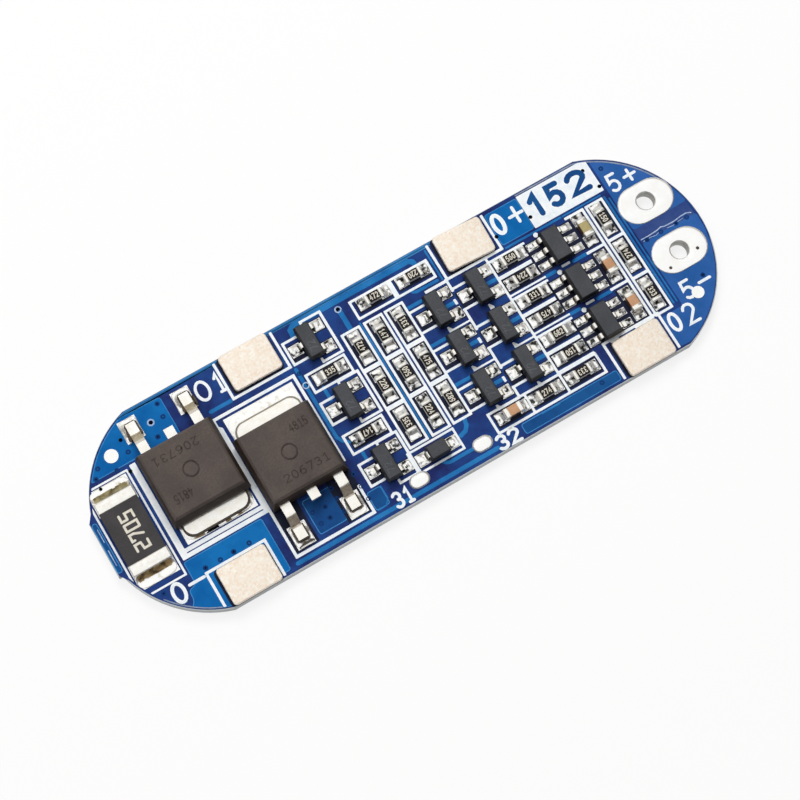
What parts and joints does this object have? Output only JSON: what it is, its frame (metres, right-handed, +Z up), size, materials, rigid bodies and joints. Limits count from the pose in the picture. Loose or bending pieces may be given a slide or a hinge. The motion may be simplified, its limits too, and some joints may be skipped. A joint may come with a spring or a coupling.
{
  "type": "battery management board",
  "caption": "Oval blue circuit board with power transistors, a current shunt, protection controllers, chip parts, nickel cell tabs and two wire terminals.",
  "frame": {"origin": "middle of the board's underside", "axes": "+X along the board from the shunt end to the wire terminal end, +Y across the board, +Z up out of the component side"},
  "size_m": [0.053, 0.0174, 0.0034],
  "materials": {
    "solder_mask": "glossy blue solder mask over glass-fibre laminate",
    "tin": "bright hot-air levelled tin",
    "solder": "bright solder, smooth and slightly dimpled",
    "nickel": "matte nickel with a fine grain",
    "tinned_copper": "bright tin plate",
    "power_moulding": "matte warm grey epoxy",
    "moulding": "matte dark grey epoxy",
    "resistor_body": "satin black glaze with tinned ends",
    "capacitor_body": "satin tan ceramic with tinned ends",
    "print": "white ink"
  },
  "bodies": {
    "root": {"board": "solder_mask", "solder_lands": "tin", "positive_terminal": "tin", "negative_terminal": "tin", "tap_pad_1": "tin", "tap_pad_2": "tin", "cell_tab_1": "nickel", "cell_tab_2": "nickel", "cell_tab_3": "nickel", "cell_tab_4": "nickel", "tab_solder": "solder", "shunt": "resistor_body", "mosfet_1_moulding": "power_moulding", "mosfet_1_lead_frame": "tinned_copper", "mosfet_2_moulding": "power_moulding", "mosfet_2_lead_frame": "tinned_copper", "transistor_1": "moulding", "transistor_2": "moulding", "transistor_3": "moulding", "transistor_4": "moulding", "transistor_5": "moulding", "transistor_6": "moulding", "transistor_7": "moulding", "transistor_8": "moulding", "transistor_9": "moulding", "controller_1": "moulding", "controller_2": "moulding", "controller_3": "moulding", "resistor_1": "resistor_body", "resistor_2": "resistor_body", "resistor_3": "resistor_body", "resistor_4": "resistor_body", "resistor_5": "resistor_body", "resistor_6": "resistor_body", "resistor_7": "resistor_body", "resistor_8": "resistor_body", "resistor_9": "resistor_body", "resistor_10": "resistor_body", "resistor_11": "resistor_body", "resistor_12": "resistor_body", "resistor_13": "resistor_body", "resistor_14": "resistor_body", "resistor_15": "resistor_body", "resistor_16": "resistor_body", "resistor_17": "resistor_body", "resistor_18": "resistor_body", "resistor_19": "resistor_body", "resistor_20": "resistor_body", "resistor_21": "resistor_body", "resistor_22": "resistor_body", "resistor_23": "resistor_body", "resistor_24": "resistor_body", "capacitor_1": "capacitor_body", "capacitor_2": "capacitor_body", "capacitor_3": "capacitor_body", "capacitor_4": "capacitor_body", "diode": "moulding", "solder_joints": "solder", "silkscreen": "print"}
  },
  "joints": []
}
